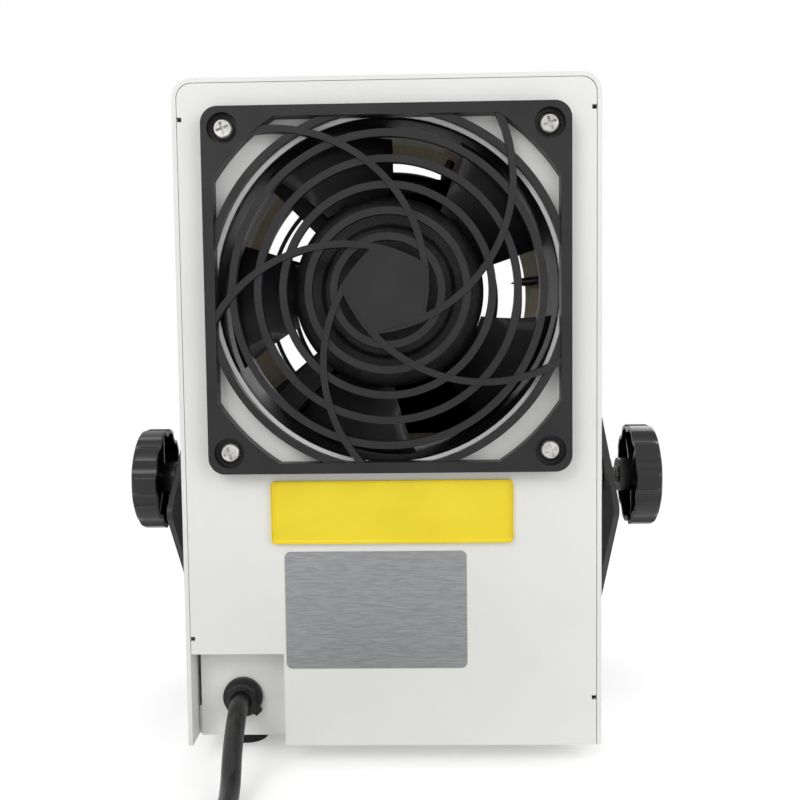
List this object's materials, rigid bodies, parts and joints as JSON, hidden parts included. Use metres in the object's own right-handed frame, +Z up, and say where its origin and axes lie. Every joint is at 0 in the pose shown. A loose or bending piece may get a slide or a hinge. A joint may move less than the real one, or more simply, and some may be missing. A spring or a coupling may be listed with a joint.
{
  "type": "ionizing air blower",
  "caption": "Bench-top ionizing air blower: white steel case, black fan guard with spiral arms, tilting U bracket with clamp knobs, mains cable.",
  "frame": {"origin": "centre of the footprint of blower and bracket, at the bench surface under the rubber feet", "axes": "+Z up, the air inlet with the guard faces +Y, the air outlet faces -Y, +X is the side of the cable"},
  "size_m": [0.1866, 0.274, 0.2304],
  "materials": {
    "powder_white": "powder coat, fine orange peel",
    "bracket_black": "satin powder coat",
    "cast_black": "rough cast, black paint",
    "blade_black": "satin black paint",
    "moulded_black": "satin moulded nylon",
    "gloss_black": "glossy moulded plastic",
    "pvc_black": "glossy flexible PVC",
    "zinc_steel": "bright zinc plate",
    "lamination": "varnished laminations and windings",
    "wire_black": "black coated wire",
    "phenolic": "pressed phenolic sheet",
    "needle_steel": "dark needle steel",
    "nylon_white": "natural nylon",
    "potting_black": "cast epoxy",
    "board_green": "solder mask",
    "board_parts": "mixed moulded components",
    "lead_red": "silicone sleeve",
    "lens_green": "translucent lens",
    "rubber_black": "moulded rubber"
  },
  "bodies": {
    "blower": {"cover": "powder_white", "chassis": "powder_white", "rear_panel": "powder_white", "cover_screws": "zinc_steel", "rear_guard": "moulded_black", "guard_screws": "zinc_steel", "guard_nuts": "zinc_steel", "fan_frame": "cast_black", "motor_stator": "lamination", "fan_bearings": "zinc_steel", "outlet_grille": "wire_black", "grille_screws": "zinc_steel", "grille_nuts": "zinc_steel", "emitter_ring": "phenolic", "emitter_needles": "needle_steel", "ring_pillars": "nylon_white", "ring_screws": "zinc_steel", "hv_module": "potting_black", "control_board": "board_green", "board_parts": "board_parts", "board_pillars": "nylon_white", "wiring": "lead_red", "switch_housing": "moulded_black", "speed_pot": "zinc_steel", "pot_nut": "zinc_steel", "led_lenses": "lens_green", "strain_relief": "moulded_black", "feet": "rubber_black", "foot_screws": "zinc_steel", "pivot_spacers": "zinc_steel", "pivot_nuts": "zinc_steel", "power_cord": "pvc_black", "cord_coil": "pvc_black", "cord_tail": "pvc_black", "plug_body": "pvc_black", "plug_pins": "zinc_steel"},
    "rotor": {"rotor_shaft": "zinc_steel", "rotor_hub": "cast_black", "fan_blades": "blade_black"},
    "bracket": {"bracket": "bracket_black", "arm_washers": "zinc_steel"},
    "rocker": {"switch_rocker": "gloss_black"},
    "dial": {"dial_shaft": "zinc_steel", "speed_dial": "moulded_black"},
    "clamp_left": {"knob_left": "gloss_black", "stud_left": "zinc_steel"},
    "clamp_right": {"knob_right": "gloss_black", "stud_right": "zinc_steel"}
  },
  "joints": [
    {"name": "fan_spin", "type": "hinge", "parent": "blower", "child": "rotor", "pos_m": [0, 0.03745, 0.16065], "axis": [0, 1, 0], "continuous": true},
    {"name": "bracket_tilt", "type": "hinge", "parent": "blower", "child": "bracket", "pos_m": [0, 0.02345, 0.09445], "axis": [-1, 0, 0], "range_deg": [-55, 92]},
    {"name": "switch_press", "type": "hinge", "parent": "blower", "child": "rocker", "pos_m": [0.036, -0.02305, 0.05345], "axis": [-1, 0, 0], "range_deg": [0, 18]},
    {"name": "speed_turn", "type": "hinge", "parent": "blower", "child": "dial", "pos_m": [-0.03, -0.02555, 0.05345], "axis": [0, -1, 0], "range_deg": [-270, 0]},
    {"name": "clamp_left_turn", "type": "hinge", "parent": "blower", "child": "clamp_left", "pos_m": [0.085, 0.02345, 0.09445], "axis": [1, 0, 0], "range_deg": [0, 360]},
    {"name": "clamp_right_turn", "type": "hinge", "parent": "blower", "child": "clamp_right", "pos_m": [-0.085, 0.02345, 0.09445], "axis": [-1, 0, 0], "range_deg": [-180, 180]}
  ]
}
